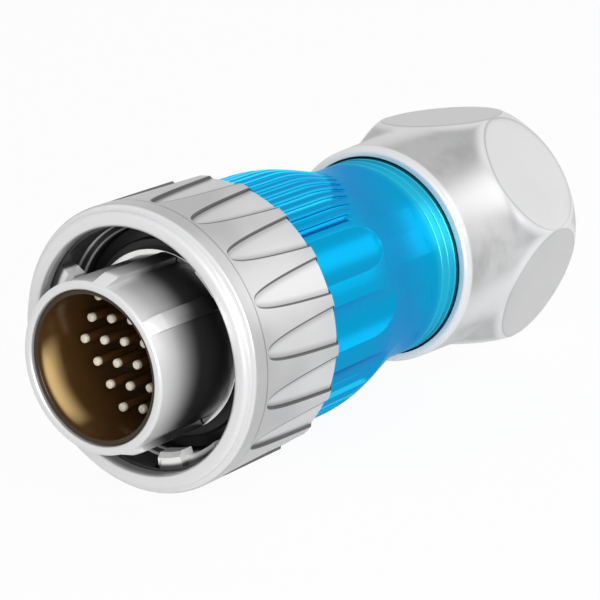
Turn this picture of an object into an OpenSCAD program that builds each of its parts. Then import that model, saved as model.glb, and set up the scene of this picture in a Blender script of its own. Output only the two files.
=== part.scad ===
// Push pull circular cable connector: a male pin insert in a keyed barrel, a sprung
// coupling ring that slides back to unlock, a turned grip body and a domed hexagon
// cable nut over a split collet and a rubber seal.
// The connector lies along X: the mating mouth is at x = 0 and the cable leaves at +X.
// Angles round the axis are in degrees from the top, turning towards -Y.

/* [Barrel] */
// Outside radius of the barrel that enters the socket
barrel_r = 9.7; // [9.3:0.1:10.1]
// Wall of the barrel
barrel_wall = 1.0; // [0.8:0.05:1.2]
// Length of the barrel, from the mouth to the flange
barrel_len = 14.0; // [13.5:0.5:16]
// Rounding of the barrel's rim
rim_round = 0.35; // [0.1:0.05:0.4]
// Height of the polarising keys
key_h = 0.7; // [0.4:0.1:0.8]
// Width of the polarising keys
key_w = 1.9; // [1.2:0.1:2.4]
// Thickness of the flange that stops the coupling ring
flange_t = 1.6; // [1.2:0.1:2]
// Wall of the sleeve that carries the spring and the ring
sleeve_wall = 2.2; // [2:0.1:2.6]
// Length of the threaded spigot that holds the grip
spigot_len = 7; // [6:0.5:9]
// Step between the sleeve and the spigot
spigot_step = 0.5; // [0.4:0.1:0.6]

/* [Face seal] */
// Thickness of the face seal
seal_t = 0.9; // [0.6:0.1:1.2]
// Radial width of the face seal
seal_w = 1.75; // [1.2:0.05:1.8]
// Width of the spring clip that keeps the face seal
clip_t = 1.1; // [0.8:0.1:1.3]
// Height of the spring clip above the barrel
clip_h = 0.75; // [0.5:0.05:0.9]
// Depth of the clip's groove in the barrel
clip_depth = 0.4; // [0.3:0.05:0.5]
// Opening of the clip, in degrees
clip_gap = 40; // [20:5:60]
// Gap between the ends of the keys and the clip
key_end_gap = 0.15; // [0.1:0.05:0.3]

/* [Insert] */
// Distance from the mouth to the contact tips
tip_depth = 6.3; // [5:0.1:8]
// Length of contact that stands out of the insert
tip_len = 6.2; // [5:0.1:7]
// Depth of the step that holds the insert
insert_step = 0.5; // [0.4:0.1:0.6]
// Thickness of the liner inside the barrel
liner_t = 0.55; // [0.4:0.05:0.7]
// Setback of the liner from the mouth
liner_setback = 0.5; // [0.4:0.1:1.5]
// Thickness of the front insert's disc
front_disc_t = 6.5; // [5.5:0.1:7.5]
// Thickness of the front insert's shoulder
insert_shoulder_t = 1.5; // [1.4:0.1:2]
// Thickness of insert in front of the contacts' bodies
insert_web = 1.5; // [1:0.1:2]
// Thickness of the rear insert
rear_disc_t = 4; // [3:0.5:5]
// Length of the ring nut that holds the inserts
ring_nut_len = 3; // [2:0.5:4]
// Wall of the ring nut that holds the inserts
ring_nut_wall = 0.9; // [0.7:0.05:1]

/* [Contacts] */
// Contacts in each row, from the top row down
row_counts = [3, 4, 5, 5, 4, 3];
// Distance between contacts in a row
contact_pitch = 2.9; // [2.8:0.05:2.95]
// Radius of the contact's pin
pin_r = 0.5; // [0.4:0.05:0.6]
// Radius of the contact's body
contact_r = 0.85; // [0.75:0.05:0.9]
// Radius of the contact's collar
collar_r = 1.1; // [1.05:0.05:1.2]
// Width of the contact's collar
collar_w = 1.6; // [1.2:0.1:2]
// Length of solder cup behind the rear insert
cup_len = 4.5; // [3.5:0.5:6]
// Radius of the solder cup's hollow
cup_hollow_r = 0.55; // [0.4:0.05:0.6]
// Depth of the solder cup's hollow
cup_depth = 3; // [2:0.1:3.2]

/* [Coupling ring] */
// Outside radius of the coupling ring
ring_r = 16.4; // [16.3:0.1:17.5]
// Length of the coupling ring
ring_len = 16; // [15.5:0.5:18]
// Distance that the ring sits behind the barrel's mouth
ring_setback = 6.8; // [6:0.1:7]
// Radius of the ring's mouth
mouth_r = 14.0; // [13.8:0.1:14.3]
// Travel of the ring when it is pulled back
ring_travel = 2.5; // [1.5:0.1:3]
// Height of the inner step that guides the ring on the flange
guide_step = 1.0; // [0.8:0.1:1.1]
// Thickness of the ring's web
web_t = 1.5; // [1.2:0.1:2]
// Height of the front lip's shoulder
lip_step = 0.75; // [0.5:0.05:0.9]
// Length of the front lip
lip_len = 0.95; // [0.7:0.05:1.2]
// Rounding of the ring's edges
ring_round = 0.45; // [0.2:0.05:0.6]
// Number of flutes round the ring
flute_count = 18; // [12:1:20]
// Width of a flute at the ring's rear edge
flute_w = 4.1; // [3:0.1:4.4]
// Depth of a flute
flute_depth = 0.45; // [0.3:0.05:0.5]
// Distance from the ring's front edge to a flute's tip
flute_setback = 3.3; // [2.5:0.1:6]

/* [Lock ring] */
// Distance from the ring's mouth to the lock ring
lock_setback = 1.8; // [1.5:0.1:2]
// Width of the lock ring
lock_w = 3.3; // [3:0.1:3.5]
// Depth of the lock ring's groove
lock_groove = 0.6; // [0.5:0.05:0.7]
// Height of the locking lugs inside the ring's mouth
lug_h = 2.0; // [1.4:0.1:2.2]
// Length of the locking lugs
lug_len = 2.3; // [1.8:0.1:2.5]
// Width of a locking lug, in degrees
lug_angle = 15; // [10:1:18]
// Width of the ramp beside a lug, in degrees
ramp_angle = 20; // [14:1:24]
// Height of the ramp beside a lug
ramp_h = 1.2; // [0.8:0.1:1.6]
// Opening of the lock ring, in degrees
lock_gap = 24; // [10:1:40]

/* [Return spring] */
// Diameter of the spring wire
spring_wire = 0.7; // [0.5:0.05:0.75]
// Length of the fitted spring
spring_len = 8.35; // [7.5:0.05:10]
// Turns of the spring
spring_turns = 5; // [4:1:7]
// Radial room on each side of the spring
spring_room = 0.5; // [0.4:0.05:0.6]
// Thickness of the washer that the spring seats on
spring_seat_t = 0.5; // [0.4:0.1:0.8]

/* [Grip body] */
// Outside radius of the grip
grip_r = 14.9; // [14.8:0.05:15]
// Length of the grip that shows, up to its rear shoulder
grip_len = 33.4; // [30:0.2:40]
// Length of the straight part of the grip
grip_straight = 11; // [9:0.5:14]
// Length of the taper behind the straight part
taper_len = 16; // [12:0.5:18]
// Radius of the grip's waist
waist_r = 12.1; // [12:0.05:12.4]
// Flare from the waist to the rear shoulder
rear_flare = 0.15; // [0:0.05:0.3]
// Wall of the threaded rear spigot
rear_wall = 1.4; // [1.2:0.1:1.6]
// Length of the threaded rear spigot
rear_spigot_len = 10; // [9:0.5:12]
// Radius of the wire chamber
chamber_r = 10; // [9.9:0.05:10.1]
// Number of fine grooves in each ribbed zone
groove_count = 17; // [11:2:19]
// Angle between fine grooves
groove_pitch = 5.6; // [5.2:0.1:6]
// Width of a fine groove, in degrees
groove_angle = 3.4; // [2.4:0.1:4]
// Depth of the fine grooves
groove_depth = 0.4; // [0.2:0.05:0.45]
// Length of the middle groove in each zone
groove_len = 22; // [14:0.5:23]
// How much shorter the outermost grooves are
groove_fade = 8.5; // [4:0.5:10]
// Radius of the cutter for the finger scoops
scoop_r = 5; // [4:0.1:6]
// Depth of the finger scoops
scoop_depth = 1.0; // [0.6:0.05:1.1]
// Length of the finger scoops
scoop_len = 15.5; // [12:0.5:17]
// Width of the trim grooves near the rear shoulder
trim_w = 0.5; // [0.3:0.05:0.6]
// Depth of the trim grooves
trim_depth = 0.25; // [0.1:0.05:0.3]
// Distance between trim grooves
trim_pitch = 1.3; // [1.1:0.1:1.5]

/* [Cable nut] */
// Across flats of the cable nut
nut_flats = 28.2; // [27.6:0.2:29]
// Largest radius of the nut's dome
dome_r = 16.25; // [15.8:0.05:16.3]
// Radius of the dome's arc in front of its middle
dome_front_arc = 9.2; // [8.5:0.1:12]
// Radius of the dome's arc behind its middle
dome_rear_arc = 13.9; // [12:0.1:16]
// Radius of the nut's front collar
nut_collar_r = 13.5; // [13.4:0.05:13.7]
// Growth of the collar's radius up to the dome
nut_flare = 0.6; // [0:0.1:0.8]
// Length of the nut
nut_len = 28.2; // [27:0.2:30]
// Distance from the nut's front to the middle of its dome
dome_setback = 16.9; // [16:0.1:18]
// Depth of the nut's recess over the grip's shoulder
nut_recess = 1.1; // [0.8:0.1:1.5]
// Radius of the nut's cable outlet
outlet_r = 7.4; // [7:0.1:7.8]
// Depth of the nut's end wall round the outlet
nut_end_t = 4.2; // [3.5:0.1:5]
// Distance that the nut backs off when it is unscrewed
nut_travel = 3; // [2:0.5:4]

/* [Cable clamp] */
// Radius of the cable that the seal grips
cable_r = 6; // [5:0.1:6.2]
// Length of the cable seal
cable_seal_len = 15; // [13:0.5:16]
// Wall of the cable seal
cable_seal_wall = 2.2; // [2:0.1:2.4]
// Number of fingers on the collet
finger_count = 8; // [6:1:10]
// Width of the slots between fingers
slot_w = 1.1; // [0.8:0.1:1.5]
// Length of finger that stands out of the grip
finger_len = 9.5; // [8:0.5:10]
// Thickness of the fingers' tips
finger_tip_t = 0.75; // [0.6:0.05:0.9]
// Length of the collet's base
collet_base = 5.5; // [4:0.5:6]
// Length of the slip ring between the collet and the nut
slip_len = 5; // [4:0.5:5.5]
// Step in the nut that the slip ring stands inside
slip_step = 1.1; // [0.8:0.1:1.3]
// Radial room between the cable and the slip ring's throat
slip_throat = 2.6; // [2.4:0.1:2.8]

/* [Clearances] */
// Radial clearance of pieces that are fitted and stay
fit_gap = 0.05; // [0.03:0.01:0.08]
// Radial clearance of pieces that slide or turn
run_gap = 0.08; // [0.05:0.01:0.1]
// Clearance of faces that part when something moves
face_gap = 0.05; // [0.02:0.01:0.08]
// Clearance where moving pieces pass without guiding
free_gap = 0.35; // [0.3:0.05:0.4]

/* [Hidden] */
$fn = 96;
eps = 0.01;
over = 1;
reach = 60;
chamfer = 0.4;

// Angles of the keys, the locking lugs and the finger scoops
key_angles = [15, 60, 160, 225, 300];
lug_angles = [52, 172, 302];
scoop_angles = [65, 95, 125, 245, 275, 305];
groove_zones = [5, 185];
clip_gap_at = 176;

// Radii of the barrel and of what it holds
bore_r = barrel_r - barrel_wall;
pocket_r = bore_r + insert_step;
sleeve_r = pocket_r + sleeve_wall;
spigot_r = sleeve_r - spigot_step;
key_r = barrel_r + key_h;

// Radii of the coupling ring and of what slides in it
guide_r = mouth_r - guide_step;
flange_r = guide_r - run_gap;
web_r = sleeve_r + run_gap;
skirt_r = grip_r + free_gap;
groove_floor_r = mouth_r + lock_groove;
lug_r = mouth_r - lug_h;

// Stations of the barrel and of the coupling ring
flange_x = barrel_len;
flange_end = flange_x + flange_t;
ring_x = ring_setback;
ring_end = ring_x + ring_len;
lock_x = ring_x + lock_setback;
guide_x = flange_x - seal_t - free_gap;
web_x = flange_end + face_gap;
web_end = web_x + web_t;
seat_end = web_end + spring_seat_t;
spring_end = seat_end + spring_len;
sleeve_end = spring_end;
spigot_end = sleeve_end + spigot_len;
seal_x = flange_x - seal_t;
clip_x = seal_x - clip_t;
key_end = clip_x - key_end_gap;

// Stations of the inserts and the contacts
liner_x = liner_setback;
disc_x = tip_depth + tip_len;
step_x = disc_x + front_disc_t - insert_shoulder_t;
split_x = step_x + insert_shoulder_t;
rear_disc_end = split_x + rear_disc_t;
ring_nut_end = rear_disc_end + ring_nut_len;
contact_body_x = disc_x + insert_web;
cup_end = rear_disc_end + cup_len;

// The spring and the grip's pocket for it
spring_mid_r = sleeve_r + spring_room + spring_wire / 2;
spring_pocket_r = spring_mid_r + spring_wire / 2 + spring_room;

// Stations and radii of the grip
grip_x = web_end + ring_travel + free_gap;
taper_x = grip_x + grip_straight;
waist_x = taper_x + taper_len;
grip_end = grip_x + grip_len;
rear_r = waist_r + rear_flare;
rear_spigot_r = chamber_r + rear_wall;
rear_spigot_end = grip_end + rear_spigot_len;
front_bore_r = spigot_r + fit_gap;

// Stations and radii of the cable nut and the clamp inside it
shoulder_gap = 0.2;
recess_r = rear_r + free_gap;
nut_x = grip_end - nut_recess + shoulder_gap;
nut_end = nut_x + nut_len;
dome_x = nut_x + dome_setback;
nut_bore_r = rear_spigot_r + run_gap;
nut_step_x = nut_end - nut_end_t;
slip_x = nut_step_x - slip_len;
slip_r = rear_spigot_r - slip_step;
nut_inner_r = slip_r + run_gap;
cable_seal_r = cable_r + cable_seal_wall;
collet_in_r = cable_seal_r + fit_gap;
collet_out_r = chamber_r - fit_gap;
collet_x = rear_spigot_end - collet_base;
collet_step_r = collet_in_r + 0.5;
finger_end = rear_spigot_end + finger_len;
finger_tip_r = collet_in_r + finger_tip_t;
slip_mouth_r = finger_tip_r + 0.75;
slip_throat_r = cable_r + slip_throat;
seal_ease = 0.5;
cable_seal_x = collet_x + seal_ease;

// The contact rows: the lattice is triangular, and its middle lies on the axis
row_pitch = contact_pitch * sqrt(3) / 2;
row_total = len(row_counts);
row_shifts = [for (i = [0:row_total - 1])
    i < row_total / 2 ? contact_pitch / 4 : -contact_pitch / 4];
contact_places = [for (i = [0:row_total - 1]) for (k = [0:row_counts[i] - 1])
    [(row_counts[i] - 1) / 2 * contact_pitch - k * contact_pitch + row_shifts[i],
     ((row_total - 1) / 2 - i) * row_pitch]];
contact_total = len(contact_places);
contact_names = [for (i = [1:contact_total]) str("pin_", i < 10 ? "0" : "", i)];

// Solid turned about the connector's axis, from [radius, station] points
module turned(points) rotate([0, 90, 0]) rotate_extrude() polygon(points);

// Round bar along the axis, from station a to station b
module bar(a, b, r) translate([a, 0, 0]) rotate([0, 90, 0]) cylinder(h = b - a, r = r);

// Round tube along the axis
module tube(a, b, outer, inner) difference() {
    bar(a, b, outer);
    bar(a - eps, b + eps, inner);
}

// Copies of a feature that is drawn at the top, turned to each angle
module around(angles) for (angle = angles) rotate([angle, 0, 0]) children();

// Wedge from station a to station b that spans an angle about the top
module wedge(a, b, angle, r) translate([a, 0, 0]) rotate([90, 0, 90]) linear_extrude(b - a)
    polygon([[0, 0], for (k = [-2:2]) r * [-sin(k * angle / 4), cos(k * angle / 4)]]);

// Points of an arc in [radius, station] form
function arc(r, station, size, from, to, steps) = [for (k = [0:steps])
    let (a = from + (to - from) * k / steps) [r + size * cos(a), station + size * sin(a)]];

// ---- Front shell: the keyed barrel, the flange, the spring sleeve and the spigot
module front_shell() color([0.72, 0.73, 0.74]) difference() {
    union() {
        turned(concat(
            [[bore_r, rim_round]],
            arc(bore_r + rim_round, rim_round, rim_round, 180, 270, 4),
            arc(barrel_r - rim_round, rim_round, rim_round, -90, 0, 4),
            [[barrel_r, flange_x], [flange_r, flange_x], [flange_r, flange_end],
             [sleeve_r, flange_end], [sleeve_r, sleeve_end], [spigot_r, sleeve_end],
             [spigot_r, spigot_end - chamfer], [spigot_r - chamfer, spigot_end],
             [pocket_r, spigot_end], [pocket_r, step_x], [bore_r, step_x]]));
        around(key_angles) key();
    }
    tube(clip_x, seal_x, barrel_r + over, barrel_r - clip_depth);
    tube(body_seal_x, body_seal_x + body_seal_w, spigot_r + over, body_seal_floor);
}

// Polarising key with a chamfered nose, rooted a little below the barrel's surface
key_x = 0.9;
key_nose = 0.6;
key_root_r = barrel_r - barrel_wall / 3;
module key() rotate([90, 0, 0]) translate([0, 0, -key_w / 2]) linear_extrude(key_w)
    polygon([[key_x, key_root_r], [key_x + key_nose, key_r], [key_end, key_r],
        [key_end, key_root_r]]);

// ---- Spring clip in the barrel's groove, open at the bottom, and the seal behind it
module seal_clip() color([0.85, 0.85, 0.84]) difference() {
    tube(clip_x, seal_x, barrel_r + clip_h, barrel_r - clip_depth);
    rotate([clip_gap_at, 0, 0]) wedge(clip_x - over, seal_x + over, clip_gap, reach);
}

module face_seal() color([0.06, 0.06, 0.06])
    tube(seal_x, flange_x, barrel_r + seal_w, barrel_r + eps);

// ---- Liner: the sleeve between the barrel's mouth and the front insert
module barrel_liner() color([0.19, 0.11, 0.05])
    tube(liner_x, disc_x, bore_r - fit_gap, bore_r - fit_gap - liner_t);

// ---- Inserts: moulded discs with stepped holes for the contacts
module front_insert() color([0.19, 0.11, 0.05]) difference() {
    union() {
        bar(disc_x, step_x, bore_r - fit_gap);
        bar(step_x, split_x, pocket_r - fit_gap);
    }
    at_contacts() {
        bar(disc_x - over, contact_body_x + eps, pin_r + fit_gap);
        bar(contact_body_x, split_x + over, contact_r + fit_gap);
        bar(split_x - collar_w / 2, split_x + over, collar_r + fit_gap);
    }
}

module rear_insert() color([0.19, 0.11, 0.05]) difference() {
    bar(split_x, rear_disc_end, pocket_r - fit_gap);
    at_contacts() {
        bar(split_x - over, split_x + collar_w / 2, collar_r + fit_gap);
        bar(split_x - over, rear_disc_end + over, contact_r + fit_gap);
    }
}

module at_contacts() for (place = contact_places) translate([0, place[0], place[1]]) children();

// Ring nut that clamps both inserts, with two slots for a peg spanner
spanner_slot = 1.6;
spanner_depth = 0.9;
module insert_nut() color([0.70, 0.62, 0.38]) difference() {
    tube(rear_disc_end, ring_nut_end, pocket_r - fit_gap, pocket_r - ring_nut_wall);
    translate([ring_nut_end - spanner_depth, -spanner_slot / 2, -reach / 2])
        cube([spanner_depth + over, spanner_slot, reach]);
}

// ---- Contact: pin with a rounded tip, a collar between the inserts and a solder cup
// that is cut open just above its middle
cup_lip = 0.1;
module contact(place) color([0.93, 0.72, 0.50]) translate([0, place[0], place[1]]) difference() {
    turned(concat([[0, tip_depth]], arc(0, tip_depth + pin_r, pin_r, -67.5, 0, 3),
        [[pin_r, contact_body_x], [contact_r, contact_body_x],
         [contact_r, split_x - collar_w / 2], [collar_r, split_x - collar_w / 2],
         [collar_r, split_x + collar_w / 2], [contact_r, split_x + collar_w / 2],
         [contact_r, cup_end], [0, cup_end]]));
    bar(cup_end - cup_depth, cup_end + over, cup_hollow_r);
    translate([cup_end - cup_depth * 0.8, -contact_r - over, cup_lip])
        cube([cup_depth + over, 2 * (contact_r + over), contact_r + over]);
}

// ---- Ring seal in the spigot's groove
body_seal_x = sleeve_end + 0.5;
body_seal_w = 1.5;
body_seal_size = 0.5;
body_seal_floor = spigot_r - 2 * body_seal_size;
module body_seal() color([0.06, 0.06, 0.06]) translate([body_seal_x + body_seal_w / 2, 0, 0])
    rotate([0, 90, 0]) rotate_extrude() translate([spigot_r - body_seal_size, 0])
        circle(r = body_seal_size, $fn = 32);

// ---- Coupling ring: lipped mouth, lock groove, guide, web and fluted skirt
lip_r = ring_r - lip_step;
lip_end = ring_x + lip_len;
ring_bevel = 0.3;
guide_ease = 0.6;
module coupling_ring() color([0.76, 0.76, 0.77]) difference() {
    turned(concat(
        arc(mouth_r + ring_round, ring_x + ring_round, ring_round, 180, 270, 4),
        arc(lip_r - ring_round, ring_x + ring_round, ring_round, -90, 0, 4),
        [[lip_r, lip_end]],
        arc(ring_r - ring_round, lip_end + ring_round, ring_round, -60, 0, 4),
        [[ring_r, ring_end - ring_bevel], [ring_r - ring_bevel, ring_end], [skirt_r, ring_end],
         [skirt_r, web_end], [web_r, web_end], [web_r, web_x], [guide_r, web_x],
         [guide_r, guide_x], [mouth_r, guide_x - guide_ease],
         [mouth_r, lock_x + lock_w + fit_gap],
         [groove_floor_r, lock_x + lock_w + fit_gap], [groove_floor_r, lock_x],
         [mouth_r, lock_x]]));
    around([for (k = [0:flute_count - 1]) (k + 0.5) * 360 / flute_count]) flute();
}

// Flute outline: a round nose that opens towards the ring's rear edge
flute_x = ring_x + flute_setback;
flute_steps = [0, 0.02, 0.07, 0.16, 0.32, 0.6, 1];
function flute_half(s) = flute_w / 2 * pow(s, 0.38);
module flute() translate([0, 0, ring_r - flute_depth]) linear_extrude(flute_depth + over)
    polygon(concat(
        [for (s = flute_steps) [flute_x + s * (ring_end - flute_x), flute_half(s)]],
        [[ring_end + over, flute_w / 2], [ring_end + over, -flute_w / 2]],
        [for (k = [len(flute_steps) - 1:-1:1]) let (s = flute_steps[k])
            [flute_x + s * (ring_end - flute_x), -flute_half(s)]]));

// ---- Lock ring: a split band in the ring's groove, with lugs and lead-in ramps
lock_front = lock_x + fit_gap;
lock_band_in = mouth_r - 0.25;
lug_bevel = 0.55;
ramp_lean = 1.0;
module lock_ring() color([0.83, 0.83, 0.82]) {
    difference() {
        tube(lock_front, lock_x + lock_w, groove_floor_r - fit_gap, lock_band_in);
        rotate([(lug_angles[0] + lug_angles[1]) / 2, 0, 0])
            wedge(lock_x - over, lock_x + lock_w + over, lock_gap, reach);
    }
    around(lug_angles) {
        lock_lug();
        rotate([-(lug_angle + ramp_angle) / 2, 0, 0]) lock_ramp();
    }
}

module lock_lug() intersection() {
    turned([[lug_r + lug_bevel, lock_front], [mouth_r, lock_front],
        [mouth_r, lock_x + lug_len], [lug_r, lock_x + lug_len], [lug_r, lock_front + lug_bevel]]);
    wedge(lock_x - over, lock_x + lock_w, lug_angle, reach);
}

// The ramp falls from the lug to the band, and its front face leans back
module lock_ramp() intersection() {
    turned([[mouth_r - ramp_h, lock_front + chamfer + ramp_lean], [mouth_r, lock_front + chamfer],
        [mouth_r, lock_x + lock_w], [mouth_r - ramp_h, lock_x + lug_len]]);
    wedge(lock_x - over, lock_x + lock_w + over, ramp_angle, reach);
}

// ---- Return spring between its seat washer and the grip's pocket
module spring_seat() color([0.70, 0.70, 0.68])
    tube(web_end, seat_end, spring_pocket_r - free_gap, sleeve_r + run_gap);

spring_sides = 8;
spring_steps = 20;
spring_x = seat_end + spring_wire / 2 + face_gap;
spring_rise = spring_len - spring_wire - 2 * face_gap;
spring_rings = spring_turns * spring_steps;
function spring_lift(t) = t < 0.5 ? 0 : t > spring_turns - 0.5 ? 1
    : (t - 0.5) / (spring_turns - 1);
function spring_ring(i) = let (t = i / spring_steps, x = spring_x + spring_rise * spring_lift(t))
    [for (k = [0:spring_sides - 1])
        let (a = 360 * k / spring_sides, r = spring_mid_r + spring_wire / 2 * cos(a))
        [x + spring_wire / 2 * sin(a), -r * sin(360 * t), r * cos(360 * t)]];
module return_spring() color([0.60, 0.60, 0.60]) polyhedron(
    points = [for (i = [0:spring_rings]) each spring_ring(i)],
    faces = concat(
        [[for (k = [0:spring_sides - 1]) k]],
        [for (i = [0:spring_rings - 1]) for (k = [0:spring_sides - 1])
            let (n = (k + 1) % spring_sides, a = i * spring_sides, b = a + spring_sides)
            [a + n, a + k, b + k, b + n]],
        [[for (k = [spring_sides - 1:-1:0]) spring_rings * spring_sides + k]]));

// ---- Grip body: fine grooves above and below, finger scoops at the sides
taper_steps = 10;
stop_depth = 4;
chamber_ease = 1.5;
spigot_room = 0.3;
function taper_r(t) = grip_r - (grip_r - waist_r) * (1 - cos(180 * t)) / 2;
trim_at = [for (k = [1:3]) grip_end - chamfer - k * trim_pitch];
grip_curve = [for (k = [0:taper_steps]) let (t = k / taper_steps)
    [taper_r(t), taper_x + t * taper_len]];
module grip_body() color([0.10, 0.62, 0.86]) difference() {
    turned(concat(
        [[spring_pocket_r, grip_x], [grip_r - chamfer, grip_x], [grip_r, grip_x + chamfer]],
        grip_curve,
        [[rear_r, grip_end - chamfer], [rear_r - chamfer, grip_end], [rear_spigot_r, grip_end],
         [rear_spigot_r, rear_spigot_end - chamfer], [rear_spigot_r - chamfer, rear_spigot_end],
         [chamber_r, rear_spigot_end], [chamber_r, collet_x], [collet_step_r, collet_x],
         [collet_step_r, collet_x - stop_depth],
         [chamber_r, collet_x - stop_depth - chamber_ease],
         [chamber_r, spigot_end + spigot_room], [front_bore_r, spigot_end + spigot_room],
         [front_bore_r, spring_end], [spring_pocket_r, spring_end]]));
    difference() {
        around(groove_zones) fine_grooves();
        turned(concat([[0, grip_x - 2 * over], [grip_r - groove_depth, grip_x - 2 * over]],
            [for (p = grip_curve) [p[0] - groove_depth, p[1]]], [[0, waist_x]]));
    }
    around(scoop_angles) scoop();
    for (x = trim_at) tube(x, x + trim_w, rear_r + over, waist_r - trim_depth);
}

// The outer grooves of a zone end sooner than the middle ones
groove_side = (groove_count - 1) / 2;
module fine_grooves() for (k = [-groove_side:groove_side])
    rotate([k * groove_pitch, 0, 0]) translate([grip_x - over, 0, 0]) rotate([90, 0, 90])
        linear_extrude(over + groove_len - groove_fade * pow(k / groove_side, 2))
            polygon([for (p = [[-1, waist_r - over], [1, waist_r - over],
                    [1, grip_r + over], [-1, grip_r + over]])
                [p[0] * p[1] * tan(groove_angle / 2), p[1]]]);

// Finger scoop: a ball-ended cut along the grip
module scoop() translate([0, 0, grip_r - scoop_depth + scoop_r]) {
    bar(grip_x - over, grip_x + scoop_len, scoop_r);
    translate([grip_x + scoop_len, 0, 0]) sphere(scoop_r);
}

// ---- Collet: a base ring in the grip, and fingers that close on the seal
finger_root = 1;
module cable_collet() color([0.85, 0.85, 0.82]) difference() {
    turned([[collet_in_r, collet_x + face_gap], [collet_out_r, collet_x + face_gap],
        [collet_out_r, rear_spigot_end + finger_root / 2], [finger_tip_r, finger_end],
        [collet_in_r, finger_end]]);
    for (k = [0:finger_count - 1]) rotate([k * 360 / finger_count, 0, 0])
        translate([rear_spigot_end - finger_root, -slot_w / 2, 0]) cube([reach, slot_w, reach]);
}

// ---- Rubber seal round the cable, with an eased bore at each end
cable_seal_end = cable_seal_x + cable_seal_len;
module cable_seal() color([0.07, 0.07, 0.07]) turned([
    [cable_r + seal_ease, cable_seal_x], [cable_seal_r, cable_seal_x],
    [cable_seal_r, cable_seal_end], [cable_r + seal_ease, cable_seal_end],
    [cable_r, cable_seal_end - seal_ease], [cable_r, cable_seal_x + seal_ease]]);

// ---- Slip ring: it moves with the nut without turning, and its cone closes the collet
slip_land = 1;
module slip_ring() color([0.78, 0.66, 0.36])
    turned([[slip_mouth_r, slip_x], [slip_r, slip_x], [slip_r, nut_step_x - face_gap],
        [slip_throat_r, nut_step_x - face_gap], [slip_throat_r, nut_step_x - slip_land]]);

// ---- Cable nut: a domed barrel with six flats, over a round front collar
dome_steps = 20;
dome_blend = 0.3;
nut_round = 0.8;
nut_lead = 0.6;
function dome_at(x) = let (size = x < dome_x ? dome_front_arc : dome_rear_arc)
    dome_r - size + sqrt(max(0, pow(size, 2) - pow(x - dome_x, 2)));
function collar_at(x) = nut_collar_r + nut_flare * (x - nut_x) / dome_setback;
function blended(a, b) = (a + b + sqrt(pow(a - b, 2) + dome_blend)) / 2;
function nut_outer(x) = x > dome_x ? dome_at(x) : blended(collar_at(x), dome_at(x));
nut_round_x = nut_end - nut_round;
module cable_nut() color([0.75, 0.75, 0.76]) difference() {
    intersection() {
        turned(concat(
            [[outlet_r, nut_x], [nut_collar_r - nut_lead * 0.8, nut_x],
             [nut_collar_r - nut_lead * 0.2, nut_x + nut_lead * 0.3]],
            [for (k = [0:dome_steps])
                let (x = nut_x + nut_lead + (nut_round_x - nut_x - nut_lead) * k / dome_steps)
                [nut_outer(x), x]],
            [[nut_outer(nut_round_x) - nut_round, nut_end], [outlet_r, nut_end]]));
        translate([nut_x - over, 0, 0]) rotate([0, 90, 0]) rotate([0, 0, 30])
            cylinder(h = nut_len + 2 * over, r = nut_flats / sqrt(3), $fn = 6);
    }
    bar(nut_x - over, nut_x + nut_recess, recess_r);
    bar(nut_x, rear_spigot_end + nut_travel, nut_bore_r);
    bar(nut_x, nut_step_x, nut_inner_r);
}

front_shell();
seal_clip();
face_seal();
barrel_liner();
front_insert();
rear_insert();
insert_nut();
body_seal();
coupling_ring();
lock_ring();
spring_seat();
return_spring();
grip_body();
cable_collet();
cable_seal();
slip_ring();
cable_nut();
for (i = [0:contact_total - 1])
    contact(contact_places[i]);
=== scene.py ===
"""Looks of the push pull circular connector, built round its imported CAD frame."""

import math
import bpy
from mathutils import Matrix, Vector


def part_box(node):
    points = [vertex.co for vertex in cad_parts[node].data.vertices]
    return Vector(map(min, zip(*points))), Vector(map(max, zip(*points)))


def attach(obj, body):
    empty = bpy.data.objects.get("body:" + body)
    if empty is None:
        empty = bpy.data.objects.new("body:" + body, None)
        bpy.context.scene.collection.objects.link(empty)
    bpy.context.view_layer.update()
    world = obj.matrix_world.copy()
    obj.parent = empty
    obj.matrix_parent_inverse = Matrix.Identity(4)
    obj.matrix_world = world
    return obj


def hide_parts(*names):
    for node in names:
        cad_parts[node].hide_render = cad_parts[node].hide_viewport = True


bl_info = {
    "name": "Push Pull Circular Connector",
    "version": (1, 0, 0),
    "blender": (4, 5, 0),
    "location": "3D View > Sidebar > Connector",
    "description": "Builds the dressed pieces of a push pull circular connector and its stage",
    "category": "Add Mesh",
}

import bmesh
import bpy
import numpy as np
from bpy.props import FloatProperty, FloatVectorProperty, IntProperty, PointerProperty
from mathutils import Matrix, Vector

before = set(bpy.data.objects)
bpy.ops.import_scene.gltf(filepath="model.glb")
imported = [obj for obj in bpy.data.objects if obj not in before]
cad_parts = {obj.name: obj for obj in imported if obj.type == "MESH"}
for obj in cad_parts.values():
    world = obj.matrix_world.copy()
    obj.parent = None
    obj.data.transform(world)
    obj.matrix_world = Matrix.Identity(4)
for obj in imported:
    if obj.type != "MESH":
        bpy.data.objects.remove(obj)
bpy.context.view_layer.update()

MM = 0.001
BODY = "connector_body"
RING_BODY = "coupling_ring_body"
SLIP_BODY = "slip_ring_body"
NUT_BODY = "cable_nut_body"

# Power that the ring's flutes follow, lengths of its lip and its rear bevel, and stations of
# the rims in its throat, where a highlight is painted
FLUTE_POWER = 0.38
LIP_LEN = 0.95
REAR_BEVEL = 0.3
THROAT_RIMS = (12.2, 12.8)

# Length of the grip in front of its rear spigot, and radius of its bore's mouth
GRIP_SHOWN = 33.4
GRIP_MOUTH_R = 13.1

# Edges of a piece that turn by more degrees than this stay sharp
SHARP = 32.0

# Roughness of satin metal and of clear coats, and factor of a colour under a painted highlight
SATIN_ROUGHNESS = 0.34
COAT_ROUGHNESS = 0.08
PAINTED_HIGHLIGHT = 1.5

WHITE = (1.0, 1.0, 1.0, 1.0)


# ---- Stations that come from the frame, in millimetres

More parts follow.
